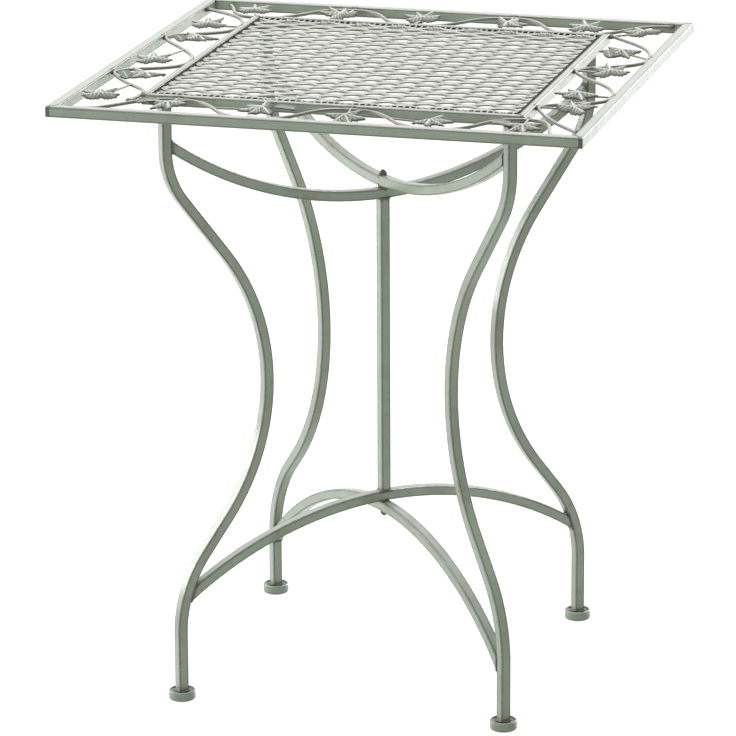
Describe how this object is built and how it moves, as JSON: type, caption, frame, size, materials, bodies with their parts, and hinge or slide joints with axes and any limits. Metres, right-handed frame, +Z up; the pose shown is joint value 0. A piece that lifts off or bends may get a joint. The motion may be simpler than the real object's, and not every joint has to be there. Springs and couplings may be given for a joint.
{
  "type": "bistro table",
  "caption": "Square bistro table with an expanded mesh top, a leaf and vine border, and curved legs on two crossing frames that fold about a central axis.",
  "frame": {"origin": "on the floor, on the vertical axis where the two base frames cross, under the middle of the top", "axes": "+Z up, front of the table faces -Y, X runs along the front rim"},
  "size_m": [0.6, 0.6, 0.7195],
  "materials": {
    "sage_paint": "satin sage green paint with a pale antique wash",
    "mesh_paint": "pale washed sage paint",
    "antique_leaf": "pale grey-green paint with dark wash in the veins",
    "dark_hardware": "dark oxidised steel"
  },
  "bodies": {
    "frame_a": {"leg_front_left": "sage_paint", "leg_back_right": "sage_paint", "upper_swag_a": "sage_paint", "lower_arch_a": "sage_paint", "centre_rod": "sage_paint", "foot_front_left": "sage_paint", "foot_back_right": "sage_paint", "upper_pivot_stud": "dark_hardware", "upper_pivot_washer": "dark_hardware", "upper_pivot_nut": "dark_hardware", "lower_pivot_stud": "dark_hardware", "lower_pivot_washer": "dark_hardware", "lower_pivot_nut": "dark_hardware", "locating_pins": "dark_hardware"},
    "frame_b": {"leg_back_left": "sage_paint", "leg_front_right": "sage_paint", "upper_swag_b": "sage_paint", "lower_arch_b": "sage_paint", "foot_back_left": "sage_paint", "foot_front_right": "sage_paint"},
    "top": {"binding_back": "mesh_paint", "binding_front": "mesh_paint", "corner_plates": "sage_paint", "inner_back": "sage_paint", "inner_front": "sage_paint", "inner_left": "sage_paint", "inner_right": "sage_paint", "leaves_back": "antique_leaf", "leaves_front": "antique_leaf", "leaves_left": "antique_leaf", "leaves_right": "antique_leaf", "mesh_panel": "mesh_paint", "rim_back": "sage_paint", "rim_front": "sage_paint", "rim_left": "sage_paint", "rim_right": "sage_paint", "small_leaves": "antique_leaf", "vine_back": "sage_paint", "vine_front": "sage_paint", "vine_left": "sage_paint", "vine_right": "sage_paint"}
  },
  "joints": [
    {"name": "frame_fold", "type": "hinge", "parent": "frame_a", "child": "frame_b", "pos_m": [0, 0, 0.38], "axis": [0, 0, 1], "range_deg": [-82, 82]},
    {"name": "top_lift", "type": "slide", "parent": "frame_a", "child": "top", "axis": [0, 0, 1], "range_m": [0, 0.05]}
  ]
}
